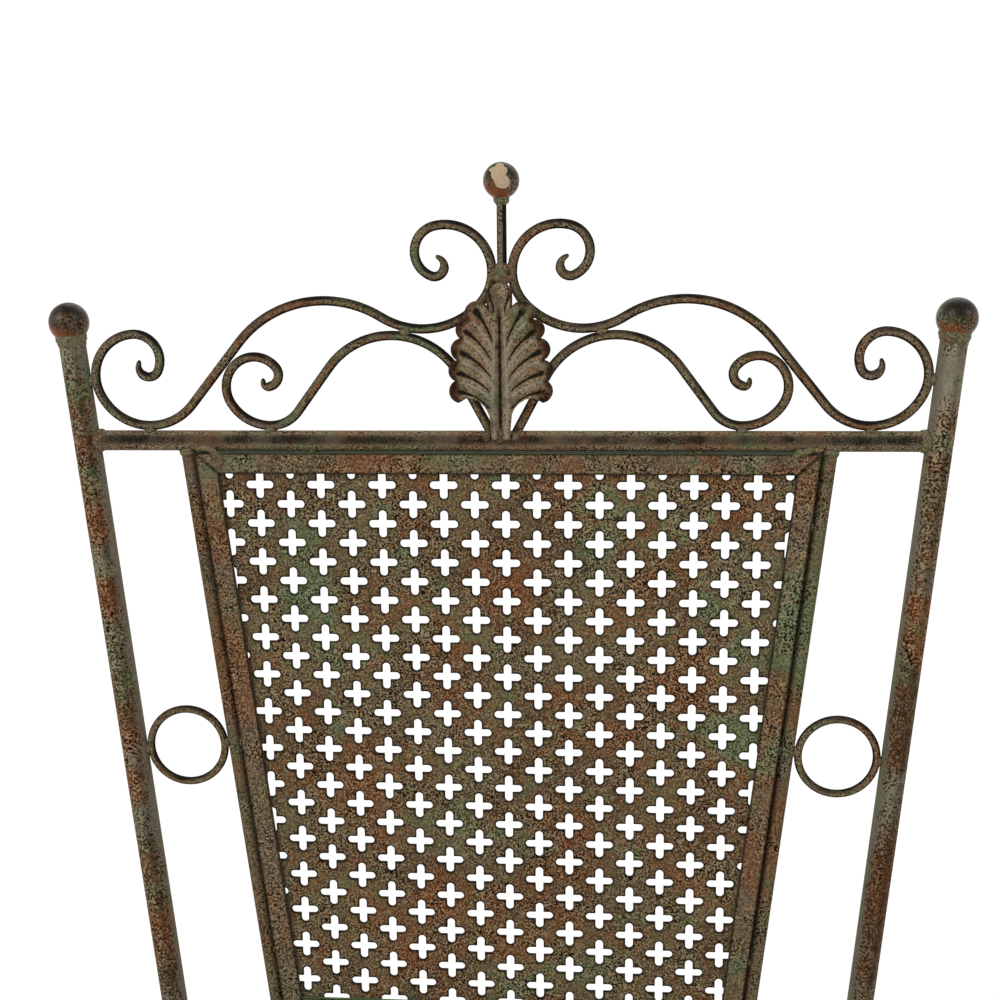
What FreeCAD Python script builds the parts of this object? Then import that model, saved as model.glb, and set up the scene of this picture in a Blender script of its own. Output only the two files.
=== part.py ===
import FreeCAD, Part
import os
from math import sin, cos, tan, atan, radians, sqrt
from FreeCAD import Vector

# Welded iron garden chair. Millimetres, +Z up, front towards -Y, back leaning towards +Y.
# The back is laid out in its own raked plane: x across, u up the plane from the seat, v to the rear.

# Bars and sheet stock
post_dia = 13.5
rail_dia = 10.3
side_bar_dia = 7.5
rod_dia = 4.8
stem_dia = 4.8
ring_wire_dia = 4.0
sheet_thickness = 1.2
angle_flange = 10.5
angle_leg = 10.5
angle_thickness = 2.0

# Raked back, heights measured up the plane from the bend of the posts at the seat
back_rake = 10.0
post_half_seat = 172.6
post_half_top = 219.9
side_ball_height = 477.3
crest_rail_height = 417.2
lower_rail_height = 98.7
side_bar_half_top = 161.9
side_bar_half_bottom = 124.9
ring_height = 254.7
side_ball_dia = 20.2
top_ball_dia = 17.8
top_ball_height = 545.0
stem_foot_height = 502.5

# Seat and legs
seat_height = 450.0
seat_depth = 390.0
seat_half_front = 205.0
seat_corner_radius = 45.0
front_leg_setback = 62.0
front_leg_out = 9.0
front_leg_forward = 34.0
rear_leg_out = 16.0
rear_leg_back = 78.0
post_bend_radius = 120.0
stretcher_height = 150.0
brace_width = 22.0
brace_thickness = 3.0
foot_cap_dia = 19.5
foot_cap_height = 24.0
foot_cap_floor = 5.0

# Punched crosses
cross_span = 14.0
cross_arm = 4.0
pitch_across = 31.32
pitch_along = 19.98
pattern_shift = 0.9
pattern_origin_height = 395.0
seat_margin = 13.0

# Fits and welds
panel_gap = 0.6
rod_gap = 0.1
ring_gap = 0.2
sheet_gap = 0.3
notch_gap = 1.0
weld_throat = 1.4
weld_crumb = 1.0
weld_turn = (1.0, 2.0, 3.0)
side_weld_shares = (0.12, 0.5, 0.88)
rail_weld_shares = (0.2, 0.8)
tack_radius = 3.0

# Scroll rods as bent by hand: each row is a radius and the turn it takes, a turn of 0 is a straight run.
# Both ends are bent from the point where the rod rests on the crest rail, and a free end's last turn is drawn out.
upper_rest = 180.5
upper_coil = [(27.5, 67.4), (21.3, 108.0), (13.0, 120.6), (5.2, 98.3), (5.2, 70.0)]
upper_run = [(28.7, -51.1), (40.1, 0), (55.6, 82.8), (39.4, -77.5), (23.0, -147.6), (12.8, -144.2),
             (4.9, -101.9), (4.9, -70.0)]
lower_rest = 118.1
lower_coil = [(23.3, 58.9), (15.7, 85.3), (14.0, 87.6), (6.0, 122.5), (2.3, 93.6)]
lower_run = [(17.6, -53.4), (27.7, 0), (39.3, 115.2), (33.0, 0)]
tip_dia = 2.6

# Leaf: heights above the crest rail's axis, one row per lobe with its crown and the notch below it
leaf_aside = -0.9
leaf_tip = 79.3
leaf_brow = (4.5, 77.7)
leaf_shoulder = (6.3, 72.8)
leaf_first_notch = (6.3, 67.6)
leaf_lobes = [((14.5, 69.2), (16.6, 60.9)), ((21.9, 57.0), (20.0, 51.7)), ((24.6, 47.0), (21.7, 40.9)),
              ((26.0, 36.0), (22.8, 30.6)), ((25.8, 25.2), (20.9, 19.7))]
leaf_underside = [(18.9, 20.9), (16.6, 22.4)]
leaf_throat = [(9.6, 20.2), (5.6, 14.0)]
leaf_foot_half = 4.4
leaf_foot_rise = 1.8
leaf_arch = 4.1
leaf_thickness = 2.6
leaf_groove = 1.3

post_r = post_dia / 2
rail_r = rail_dia / 2
bar_r = side_bar_dia / 2
rod_r = rod_dia / 2
stem_r = stem_dia / 2
ball_r = side_ball_dia / 2
top_ball_r = top_ball_dia / 2
rake = radians(back_rake)
tube_z = seat_height - sheet_thickness - post_r
up = Vector(0, sin(rake), cos(rake))
rear = Vector(0, cos(rake), -sin(rake))
across = Vector(1, 0, 0)


def on_back(x, u, v=0.0):
    return Vector(0, 0, tube_z) + across * x + up * u + rear * v


def post_half(u):
    return post_half_seat + (post_half_top - post_half_seat) * u / side_ball_height


def bar_half(u):
    span = crest_rail_height - lower_rail_height
    return side_bar_half_bottom + (side_bar_half_top - side_bar_half_bottom) * (u - lower_rail_height) / span


def sphere(centre, radius):
    return Part.makeSphere(radius, centre)


def bar(a, b, radius):
    return Part.makeCylinder(radius, (b - a).Length, a, b - a)


def bent_path(points, radii):
    # Straight runs joined by tangent arcs, one radius per inner point
    edges = []
    last = points[0]
    for i, radius in enumerate(radii):
        a, b, c = points[i], points[i + 1], points[i + 2]
        to_a = (a - b).normalize()
        to_c = (c - b).normalize()
        half = to_a.getAngle(to_c) / 2
        start = b + to_a * (radius / tan(half))
        end = b + to_c * (radius / tan(half))
        middle = b + (to_a + to_c).normalize() * (radius / sin(half) - radius)
        edges.append(Part.LineSegment(last, start).toShape())
        edges.append(Part.Arc(start, middle, end).toShape())
        last = end
    edges.append(Part.LineSegment(last, points[-1]).toShape())
    return edges


def swept(edges, radius, end_radius=None):
    wire = Part.Wire(edges)
    first = edges[0]
    start = first.valueAt(first.FirstParameter)
    heading = first.tangentAt(first.FirstParameter)
    sections = [Part.Wire(Part.makeCircle(radius, start, heading))]
    if end_radius is not None:
        last = edges[-1]
        end = last.valueAt(last.LastParameter)
        sections.append(Part.Wire(Part.makeCircle(end_radius, end, last.tangentAt(last.LastParameter))))
    return wire.makePipeShell(sections, True, False)


def cut_by(shape, *tools):
    for tool in tools:
        shape = shape.cut(tool)
    return shape


def coped(shape, *tools):
    # The length that stays once its ends are cut to fit, without the offcuts
    return max(cut_by(shape, *tools).Solids, key=lambda solid: solid.Volume)


def face_of(points):
    return Part.Face(Part.makePolygon(points + [points[0]]))


def scroll_edges(x, u, heading, bends, side):
    # The bends as edges in the back's plane, starting at (x, u) along a heading in degrees
    edges = []
    angle = radians(heading)
    for size, turn in bends:
        if turn == 0:
            nx, nu = x + size * cos(angle), u + size * sin(angle)
            edges.append(Part.LineSegment(on_back(side * x, u), on_back(side * nx, nu)).toShape())
        else:
            hand = 1 if turn > 0 else -1
            cx, cu = x - hand * size * sin(angle), u + hand * size * cos(angle)
            spots = []
            for share in (0.5, 1.0):
                reach = angle + radians(turn) * share
                spots.append((cx + hand * size * sin(reach), cu - hand * size * cos(reach)))
            (mx, mu), (nx, nu) = spots
            start, middle, end = (on_back(side * a, b) for a, b in ((x, u), (mx, mu), (nx, nu)))
            edges.append(Part.Arc(start, middle, end).toShape())
            angle += radians(turn)
        x, u = nx, nu
    return edges


def scroll_rod(rest, coil, run, side, run_tip=True):
    u = crest_rail_height + rail_r + rod_gap + rod_r
    out = scroll_edges(rest, u, 0, coil, side)
    inward = scroll_edges(rest, u, 180, run, side)
    rod = swept(out[:-1], rod_r).fuse(swept(out[-1:], rod_r, tip_dia / 2))
    if run_tip:
        rod = rod.fuse([swept(inward[:-1], rod_r), swept(inward[-1:], rod_r, tip_dia / 2)])
    else:
        rod = rod.fuse(swept(inward, rod_r))
    return rod


def cross_wire(origin, x_axis, y_axis):
    # A Greek cross with round arm ends
    w = cross_arm / 2
    straight = cross_span / 2 - w
    edges = []
    for k in range(4):
        c, s = [(1, 0), (0, 1), (-1, 0), (0, -1)][k]
        a = x_axis * c + y_axis * s
        b = x_axis * -s + y_axis * c
        low, high = origin + a * straight - b * w, origin + a * straight + b * w
        edges.append(Part.LineSegment(origin + a * w - b * w, low).toShape())
        edges.append(Part.Arc(low, origin + a * (straight + w), high).toShape())
        edges.append(Part.LineSegment(high, origin + a * w + b * w).toShape())
    return Part.Wire(edges)


def lattice(half_x, low, high, centre_x, centre_y):
    # Staggered pattern: every other row stands half a pitch aside
    spots = []
    across_count = int(2 * half_x / pitch_across) + 3
    along_count = int((high - low) / pitch_along * 2) + 4
    first = int((low - centre_y) / pitch_along * 2) - 2
    for j in range(first, first + along_count + 2):
        for i in range(-across_count, across_count + 1):
            if (i + j) % 2 == 0:
                spots.append((centre_x + i * pitch_across / 2, centre_y + j * pitch_along / 2))
    return spots


def weld(centre, radius, *neighbours):
    # The ball is turned so that its seam and poles stay off the joint
    return cut_by(Part.makeSphere(radius, centre, Vector(*weld_turn)), *neighbours)


def meet(a, b, centre, radius):
    # Where the line from a to b leaves a ball of this radius
    return centre + (b - a).normalize() * radius


nodes = {}

# Posts: one bar each, from the ball down the raked back, bent at the seat into the rear leg
foot_axis = {}
posts = {}
for name, side in (("left", -1), ("right", 1)):
    top = on_back(side * post_half(side_ball_height), side_ball_height)
    bend = on_back(side * post_half_seat, 0)
    foot = Vector(side * (post_half_seat + rear_leg_out), bend.y + rear_leg_back, 0)
    rise = (bend - foot).normalize()
    ball = sphere(top, ball_r)
    end = foot + rise * foot_cap_floor
    post = swept(bent_path([end, bend, top], [post_bend_radius]), post_r)
    post = coped(post, ball)
    posts[side] = post
    foot_axis["rear_" + name] = (foot, rise, post)
    nodes["back_post_" + name] = post
    nodes["finial_ball_" + name] = ball

# Crest rail and lower rail, coped to the posts
rails = {}
for name, u in (("crest_rail", crest_rail_height), ("lower_back_rail", lower_rail_height)):
    rail = bar(on_back(-post_half(u), u), on_back(post_half(u), u), rail_r)
    rails[name] = coped(rail, posts[-1], posts[1])
    nodes[name] = rails[name]

# Side bars between the two rails
bars = {}
for name, side in (("left", -1), ("right", 1)):
    low, high = lower_rail_height, crest_rail_height
    piece = bar(on_back(side * bar_half(low), low), on_back(side * bar_half(high), high), bar_r)
    bars[side] = coped(piece, rails["crest_rail"], rails["lower_back_rail"])
    nodes["side_bar_" + name] = bars[side]

# Panel frame of mitred angle iron, just inside the side bars
bar_lean = atan((side_bar_half_top - side_bar_half_bottom) / (crest_rail_height - lower_rail_height))
panel_top = crest_rail_height - rail_r - panel_gap
panel_bottom = lower_rail_height + rail_r + panel_gap
flange_front = -rail_r


def panel_corner(inset, side, high):
    u = panel_top - inset if high else panel_bottom + inset
    return side * (bar_half(u) - (bar_r + panel_gap + inset) / cos(bar_lean)), u


def slab(corners, v, depth):
    return face_of([on_back(x, u, v) for x, u in corners]).extrude(rear * depth)


angle_runs = {"panel_top_angle": ((-1, True), (1, True)), "panel_bottom_angle": ((1, False), (-1, False)),
              "panel_angle_left": ((-1, False), (-1, True)), "panel_angle_right": ((1, True), (1, False))}
for name, ends in angle_runs.items():
    outer = [panel_corner(0, side, high) for side, high in ends]
    flange_edge = [panel_corner(angle_flange, side, high) for side, high in reversed(ends)]
    leg_edge = [panel_corner(angle_thickness, side, high) for side, high in reversed(ends)]
    flange = slab(outer + flange_edge, flange_front, angle_thickness)
    leg = slab(outer + leg_edge, flange_front, angle_leg)
    nodes[name] = flange.fuse(leg).removeSplitter()

# Back sheet behind the flanges, punched right out to its edges
sheet_v = flange_front + angle_thickness
sheet_inset = angle_thickness + sheet_gap
corners = ((-1, False), (1, False), (1, True), (-1, True))
outline = [panel_corner(sheet_inset, side, high) for side, high in corners]
blank = face_of([on_back(x, u, sheet_v) for x, u in outline])
inner_holes, edge_holes = [], []
reach = cross_span / 2
for x, u in lattice(side_bar_half_top, panel_bottom, panel_top, pattern_shift, pattern_origin_height):
    side_room = (bar_half(u) - abs(x)) * cos(bar_lean) - bar_r - panel_gap - sheet_inset
    room = min(side_room, panel_top - sheet_inset - u, u - panel_bottom - sheet_inset)
    if room > -reach:
        wire = cross_wire(on_back(x, u, sheet_v), across, up)
        (inner_holes if room > reach + cross_arm / 2 else edge_holes).append(wire)
blank = blank.cut([Part.Face(wire) for wire in edge_holes])
main = max(blank.Faces, key=lambda face: face.Area)
near_holes = [wire for wire in main.Wires if not wire.isSame(main.OuterWire)]
sheet_face = Part.Face([main.OuterWire] + near_holes + inner_holes)
nodes["back_sheet"] = sheet_face.extrude(rear * sheet_thickness)
print("back sheet holes:", len(near_holes), "near its edges,", len(inner_holes), "inside")

# Rings held between the side bars and the posts
ring_spots = {}
for name, side in (("left", -1), ("right", 1)):
    post_lean = atan((post_half_top - post_half_seat) / side_ball_height)
    near, far = bar_half(ring_height), post_half(ring_height)
    a, b = cos(bar_lean), cos(post_lean)
    x = (far * b + near * a + bar_r - post_r) / (a + b)
    ring_r = (x - near) * a - bar_r - ring_gap
    centre = on_back(side * x, ring_height)
    nodes["ring_" + name] = Part.makeTorus(ring_r - ring_wire_dia / 2, ring_wire_dia / 2, centre, rear)
    toward_bar = (across * -side * cos(bar_lean) + up * sin(bar_lean)) * (ring_r + ring_gap / 2)
    toward_post = (across * side * cos(post_lean) - up * sin(post_lean)) * (ring_r + ring_gap / 2)
    ring_spots[side] = (centre + toward_bar, centre + toward_post)

# Scrolls on the crest rail
for name, side in (("left", -1), ("right", 1)):
    nodes["upper_scroll_" + name] = scroll_rod(upper_rest, upper_coil, upper_run, side)
    low = scroll_rod(lower_rest, lower_coil, lower_run, side, False)
    nodes["lower_scroll_" + name] = coped(low, rails["crest_rail"])

# Stem and top ball over the meeting of the two upper scrolls
top_centre = on_back(0, top_ball_height)
nodes["top_ball"] = sphere(top_centre, top_ball_r)
stem = bar(on_back(0, stem_foot_height), top_centre, stem_r)
nodes["centre_stem"] = coped(stem, nodes["top_ball"])


# Cast leaf in front of the scrolls
def leaf_at(point, side, v=0.0):
    return on_back(leaf_aside + side * point[0], crest_rail_height + point[1], v)


leaf_half_width = max(crown[0] for crown, notch in leaf_lobes)
leaf_back = -rod_r - rod_gap
leaf_radius = (leaf_half_width ** 2 + leaf_arch ** 2) / (2 * leaf_arch)
leaf_depth = leaf_back - leaf_arch - leaf_thickness
edges = []
for side in (1, -1):
    tip, brow, shoulder = (leaf_at(spot, side) for spot in ((0, leaf_tip), leaf_brow, leaf_shoulder))
    half = [Part.Arc(tip, brow, shoulder).toShape()]
    half.append(Part.LineSegment(leaf_at(leaf_shoulder, side), leaf_at(leaf_first_notch, side)).toShape())
    last = leaf_first_notch
    for crown, notch in leaf_lobes:
        half.append(Part.Arc(leaf_at(last, side), leaf_at(crown, side), leaf_at(notch, side)).toShape())
        last = notch
    for via, end in (leaf_underside, leaf_throat):
        half.append(Part.Arc(leaf_at(last, side), leaf_at(via, side), leaf_at(end, side)).toShape())
        last = end
    foot = (leaf_foot_half, leaf_foot_rise)
    half.append(Part.LineSegment(leaf_at(last, side), leaf_at(foot, side)).toShape())
    edges += half
edges.append(Part.LineSegment(leaf_at((leaf_foot_half, leaf_foot_rise), 1),
                              leaf_at((leaf_foot_half, leaf_foot_rise), -1)).toShape())
leaf_face = Part.Face(Part.Wire(Part.__sortEdges__(edges)))
leaf_face.translate(rear * (leaf_depth - 1))
leaf_block = leaf_face.extrude(rear * (1 - leaf_depth))
axis_v = leaf_back - leaf_arch + leaf_radius
axis_low = on_back(leaf_aside, crest_rail_height - leaf_tip, axis_v)
axis_high = on_back(leaf_aside, crest_rail_height + 2 * leaf_tip, axis_v)
arch = bar(axis_low, axis_high, leaf_radius + leaf_thickness).cut(bar(axis_low, axis_high, leaf_radius))
front_low = on_back(leaf_aside, crest_rail_height, leaf_depth)
front_high = on_back(leaf_aside, crest_rail_height + leaf_shoulder[1], leaf_depth)
groove = bar(front_low, front_high, leaf_groove)
leaf = leaf_block.common(arch).cut(groove)
nodes["acanthus_leaf"] = leaf

# Seat: a bent hoop, a rear rail, a punched sheet on top and a flat brace under it
hoop_back = {side: Vector(side * post_half_seat, 0, tube_z) for side in (-1, 1)}
hoop_front = {side: Vector(side * seat_half_front, -seat_depth, tube_z) for side in (-1, 1)}
hoop_edges = bent_path([hoop_back[-1], hoop_front[-1], hoop_front[1], hoop_back[1]],
                       [seat_corner_radius, seat_corner_radius])
hoop = coped(swept(hoop_edges, post_r), posts[-1], posts[1])
nodes["seat_hoop"] = hoop
rear_z = seat_height - sheet_thickness - rail_r
rear_rail = bar(Vector(-post_half_seat, 0, rear_z), Vector(post_half_seat, 0, rear_z), rail_r)
rear_rail = coped(rear_rail, posts[-1], posts[1], hoop)
nodes["seat_rear_rail"] = rear_rail
lift = Vector(0, 0, post_r)
post_run = on_back(-post_half_top, side_ball_height) - on_back(-post_half_seat, 0)
bend_angle = foot_axis["rear_left"][1].getAngle(post_run)
post_bend_drift = post_bend_radius * (1 / cos(bend_angle / 2) - 1)
sheet_edges = [edge.translated(lift) for edge in hoop_edges]
sheet_edges.append(Part.LineSegment(hoop_back[1] + lift, hoop_back[-1] + lift).toShape())
seat_lean = atan((seat_half_front - post_half_seat) / seat_depth)
holes = []
keep = reach + seat_margin
for x, y in lattice(seat_half_front, -seat_depth, 0, 0, -seat_depth / 2):
    half = post_half_seat - (seat_half_front - post_half_seat) * y / seat_depth
    room = min((half - abs(x)) * cos(seat_lean) - post_r, -y - post_r, seat_depth + y - post_r)
    if room > keep:
        holes.append(cross_wire(Vector(x, y, tube_z + post_r), across, Vector(0, 1, 0)))
seat_blank = Part.Face(Part.Wire(sheet_edges))
for side in (-1, 1):
    centre = on_back(side * post_half_seat, 0) + lift
    notch = Part.Face(Part.Wire(Part.makeCircle(post_r / cos(rake) + notch_gap + post_bend_drift, centre)))
    seat_blank = seat_blank.cut(notch)
seat_blank = max(seat_blank.Faces, key=lambda face: face.Area)
seat_face = Part.Face([seat_blank.OuterWire] + holes)
seat_sheet = seat_face.extrude(Vector(0, 0, sheet_thickness))
nodes["seat_sheet"] = seat_sheet
brace_z = tube_z + post_r - brace_thickness
brace = Part.makeBox(2 * seat_half_front, brace_width, brace_thickness,
                     Vector(-seat_half_front, -seat_depth / 2 - brace_width / 2, brace_z))
trim = face_of([hoop_back[-1], hoop_front[-1], hoop_front[1], hoop_back[1]])
trim.translate(Vector(0, 0, -post_r))
brace = coped(brace.common(trim.extrude(Vector(0, 0, post_dia))), hoop)
nodes["seat_brace"] = brace

# Front legs under the hoop's sides
legs = {}
for name, side in (("left", -1), ("right", 1)):
    share = 1 - front_leg_setback / seat_depth
    head = hoop_back[side] + (hoop_front[side] - hoop_back[side]) * share
    foot = Vector(head.x + side * front_leg_out, head.y - front_leg_forward, 0)
    rise = (head - foot).normalize()
    leg = coped(bar(foot + rise * foot_cap_floor, head, post_r), hoop)
    legs[side] = leg
    foot_axis["front_" + name] = (foot, rise, leg)
    nodes["front_leg_" + name] = leg

# Stretchers: one on each side and one across, as an H
stretcher_ends = {}
stretchers = {}
for name, side in (("left", -1), ("right", 1)):
    ends = []
    for corner in ("front_", "rear_"):
        foot, rise, leg = foot_axis[corner + name]
        ends.append(foot + rise * (stretcher_height / rise.z))
    stretcher_ends[side] = ends
    stretchers[side] = coped(bar(ends[0], ends[1], rail_r), legs[side], posts[side])
    nodes["side_stretcher_" + name] = stretchers[side]
middle = {side: (stretcher_ends[side][0] + stretcher_ends[side][1]) * 0.5 for side in (-1, 1)}
cross = bar(middle[-1], middle[1], rail_r)
nodes["cross_stretcher"] = coped(cross, stretchers[-1], stretchers[1])

# Foot caps pushed over the leg ends and flat on the floor
for corner, (foot, rise, leg) in foot_axis.items():
    cap = Part.makeCylinder(foot_cap_dia / 2, foot_cap_height + foot_cap_dia, foot - rise * foot_cap_dia, rise)
    cap = cap.makeFillet(foot_cap_floor / 2, [edge for edge in cap.Edges if edge.Closed
                                              and edge.CenterOfMass.z > foot.z])
    below = Part.makeBox(4 * foot_cap_dia, 4 * foot_cap_dia, 4 * foot_cap_dia,
                         foot - Vector(2 * foot_cap_dia, 2 * foot_cap_dia, 4 * foot_cap_dia))
    nodes["foot_cap_" + corner] = cut_by(cap, below, leg)

# Welds, as beads trimmed by the pieces that they join
scroll_beads, panel_beads, ring_beads = [], [], []
joined = {}
for rail, u in (("crest_rail", crest_rail_height), ("lower_back_rail", lower_rail_height)):
    for name, side in (("left", -1), ("right", 1)):
        spot = on_back(side * (post_half(u) - post_r), u)
        joined[rail + "_weld_" + name] = [weld(spot, rail_r + weld_throat / 2, rails[rail], posts[side])]
for name, side in (("left", -1), ("right", 1)):
    top = on_back(side * post_half(side_ball_height), side_ball_height)
    bend = on_back(side * post_half_seat, 0)
    spot = meet(top, bend, top, sqrt(ball_r ** 2 - post_r ** 2))
    ball = nodes["finial_ball_" + name]
    joined["finial_ball_weld_" + name] = [weld(spot, post_r + weld_throat / 2, ball, posts[side])]
neck = on_back(0, top_ball_height - sqrt(top_ball_r ** 2 - stem_r ** 2))
joined["top_ball_weld"] = [weld(neck, stem_r + weld_throat, nodes["top_ball"], nodes["centre_stem"])]

rod_mid = rail_r + rod_gap / 2
for name, side in (("left", -1), ("right", 1)):
    upper, lower = nodes["upper_scroll_" + name], nodes["lower_scroll_" + name]
    bead = rod_r + weld_throat / 2
    for rest, rod in ((upper_rest, upper), (lower_rest, lower)):
        spot = on_back(side * rest, crest_rail_height + rod_mid)
        scroll_beads.append(weld(spot, bead, rod, rails["crest_rail"]))
    for a, b in ((upper, lower), (upper, posts[side])):
        gap, spots, info = a.distToShape(b)
        for p, q in spots[:1]:
            scroll_beads.append(weld((p + q) * 0.5, bead, a, b))
left, right, stem = nodes["upper_scroll_left"], nodes["upper_scroll_right"], nodes["centre_stem"]
scroll_beads.append(weld(on_back(0, stem_foot_height), stem_r + weld_throat, left, right, stem))
leaf_base = on_back(leaf_aside, crest_rail_height + rail_r, leaf_back - leaf_arch / 2)
scroll_beads.append(weld(leaf_base, leaf_foot_half, leaf, rails["crest_rail"], nodes["lower_scroll_left"],
                         nodes["lower_scroll_right"]))

for side, name in ((-1, "panel_angle_left"), (1, "panel_angle_right")):
    for share in side_weld_shares:
        u = panel_bottom + (panel_top - panel_bottom) * share
        x = bar_half(u) - (bar_r + panel_gap / 2) / cos(bar_lean)
        panel_beads.append(weld(on_back(side * x, u), tack_radius, bars[side], nodes[name]))
for share in rail_weld_shares:
    for name, rail, u in (("panel_top_angle", "crest_rail", crest_rail_height - rail_r - panel_gap / 2),
                          ("panel_bottom_angle", "lower_back_rail", lower_rail_height + rail_r + panel_gap / 2)):
        x = bar_half(u) * (2 * share - 1)
        panel_beads.append(weld(on_back(x, u), tack_radius, rails[rail], nodes[name]))
for side in (-1, 1):
    for name in ("crest_rail", "lower_back_rail"):
        u = crest_rail_height if name == "crest_rail" else lower_rail_height
        toward = -1 if name == "crest_rail" else 1
        spot = on_back(side * bar_half(u + toward * rail_r), u + toward * rail_r)
        angles = [nodes[key] for key in angle_runs]
        panel_beads.append(weld(spot, bar_r + weld_throat / 2, rails[name], bars[side], *angles))

for name, side in (("left", -1), ("right", 1)):
    for spot, other in zip(ring_spots[side], (bars[side], posts[side])):
        ring_beads.append(weld(spot, ring_wire_dia / 2 + weld_throat / 2, nodes["ring_" + name], other))

for name, side in (("left", -1), ("right", 1)):
    # Low enough to stay under the seat sheet
    spot = hoop_back[side] + (hoop_front[side] - hoop_back[side]).normalize() * post_r
    spot.z -= 2 * weld_throat
    joined["seat_hoop_weld_" + name] = [weld(spot, post_r + weld_throat, hoop, posts[side], rear_rail)]
    leg = legs[side]
    foot, rise, shape = foot_axis["front_" + name]
    head = foot + rise * ((tube_z - post_r) / rise.z)
    joined["front_leg_weld_" + name] = [weld(head, post_r + weld_throat, hoop, leg)]
    front, rear = stretcher_ends[side]
    for place, end, other, post in (("front", front, rear, leg), ("rear", rear, front, posts[side])):
        spot = end + (other - end).normalize() * post_r
        bead = weld(spot, rail_r + weld_throat, stretchers[side], post)
        joined["stretcher_weld_" + place + "_" + name] = [bead]
    spot = middle[side] - across * side * rail_r
    bead = weld(spot, rail_r + weld_throat, stretchers[side], nodes["cross_stretcher"])
    joined["cross_stretcher_weld_" + name] = [bead]
joined["scroll_welds"] = scroll_beads
joined["panel_welds"] = panel_beads
joined["ring_welds"] = ring_beads
for name, beads in joined.items():
    solids = [solid for bead in beads for solid in bead.Solids]
    nodes[name] = Part.makeCompound([solid for solid in solids if solid.Volume > weld_crumb])

# The origin is on the floor under the middle of the chair
outermost = ("foot_cap", "top_ball", "seat_hoop")
reaches = [shape.optimalBoundingBox() for name, shape in nodes.items() if name.startswith(outermost)]
box = reaches[0]
for other in reaches[1:]:
    box.add(other)
shift = Vector(0, -box.Center.y, 0)
os.makedirs("parts", exist_ok=True)
for name, shape in nodes.items():
    shape = shape.copy()
    shape.translate(shift)
    shape.exportStep("parts/" + name + ".step")
print("nodes", len(nodes), "box", box.XLength, box.YLength, box.ZLength, "shift", shift)
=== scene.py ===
import bpy
import bmesh
from math import acos, atan2, cos, exp, pi, radians, sin, sqrt
from mathutils import Matrix, Vector, noise


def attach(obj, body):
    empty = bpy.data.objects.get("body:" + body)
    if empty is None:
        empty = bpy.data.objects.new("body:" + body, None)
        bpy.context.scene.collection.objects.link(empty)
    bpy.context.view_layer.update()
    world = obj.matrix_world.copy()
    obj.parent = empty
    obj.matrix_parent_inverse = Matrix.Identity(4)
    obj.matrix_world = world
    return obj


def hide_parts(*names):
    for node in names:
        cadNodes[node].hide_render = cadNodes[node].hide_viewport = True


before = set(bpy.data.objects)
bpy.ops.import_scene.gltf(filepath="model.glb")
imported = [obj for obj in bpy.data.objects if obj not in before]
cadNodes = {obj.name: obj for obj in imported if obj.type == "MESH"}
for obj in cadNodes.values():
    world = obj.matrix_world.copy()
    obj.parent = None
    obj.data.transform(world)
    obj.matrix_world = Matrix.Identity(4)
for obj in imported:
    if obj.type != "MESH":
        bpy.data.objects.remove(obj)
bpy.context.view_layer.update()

scene = bpy.context.scene
scene.view_settings.view_transform = "Standard"
print("frame:", len(cadNodes), "nodes")

# The back's own plane, as in the CAD: x across, u up the rake, v to the rear, millimetres
back = {"rake": 10.0, "originY": 146.606, "originZ": 442.05, "crestU": 417.2}
rakeSin, rakeCos = sin(radians(back["rake"])), cos(radians(back["rake"]))


def onBack(x, u, v=0.0):
    y = back["originY"] + u * rakeSin + v * rakeCos
    z = back["originZ"] + u * rakeCos - v * rakeSin
    return Vector((x, y, z)) / 1000


def linear(hexText):
    parts = [int(hexText[i:i + 2], 16) / 255 for i in (1, 3, 5)]
    return [p / 12.92 if p <= 0.04045 else ((p + 0.055) / 1.055) ** 2.4 for p in parts] + [1.0]


def addNode(tree, kind, inputs={}, **settings):
    node = tree.nodes.new(kind)
    for key, value in settings.items():
        setattr(node, key, value)
    for key, value in inputs.items():
        named = [s for s in node.inputs if s.enabled and s.name == key]
        socket = named[0] if named else node.inputs[key]
        if isinstance(value, bpy.types.Node):
            value = next(s for s in value.outputs if s.enabled)
        if isinstance(value, bpy.types.NodeSocket):
            tree.links.new(value, socket)
        else:
            socket.default_value = value
    return node


def smoothStep(low, high, value):
    t = min(max((value - low) / (high - low), 0.0), 1.0)
    return t * t * (3 - 2 * t)


def newMaterial(name):
    material = bpy.data.materials.new(name)
    material.use_nodes = True
    material.node_tree.nodes.clear()
    return material, material.node_tree


def backdropSeen(tree):
    # 1 where the camera, a reflection or glass looks straight at the backdrop
    path = addNode(tree, "ShaderNodeLightPath")
    seen = addNode(tree, "ShaderNodeMath",
                   {0: path.outputs["Is Camera Ray"], 1: path.outputs["Is Glossy Ray"]}, operation="MAXIMUM")
    return addNode(tree, "ShaderNodeMath",
                   {0: seen, 1: path.outputs["Is Transmission Ray"]}, operation="MAXIMUM")


def newPiece(name, mesh, material):
    piece = bpy.data.objects.new(name, mesh)
    scene.collection.objects.link(piece)
    mesh.materials.append(material)
    mesh.polygons.foreach_set("use_smooth", [True] * len(mesh.polygons))
    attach(piece, "root")
    return piece


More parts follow.
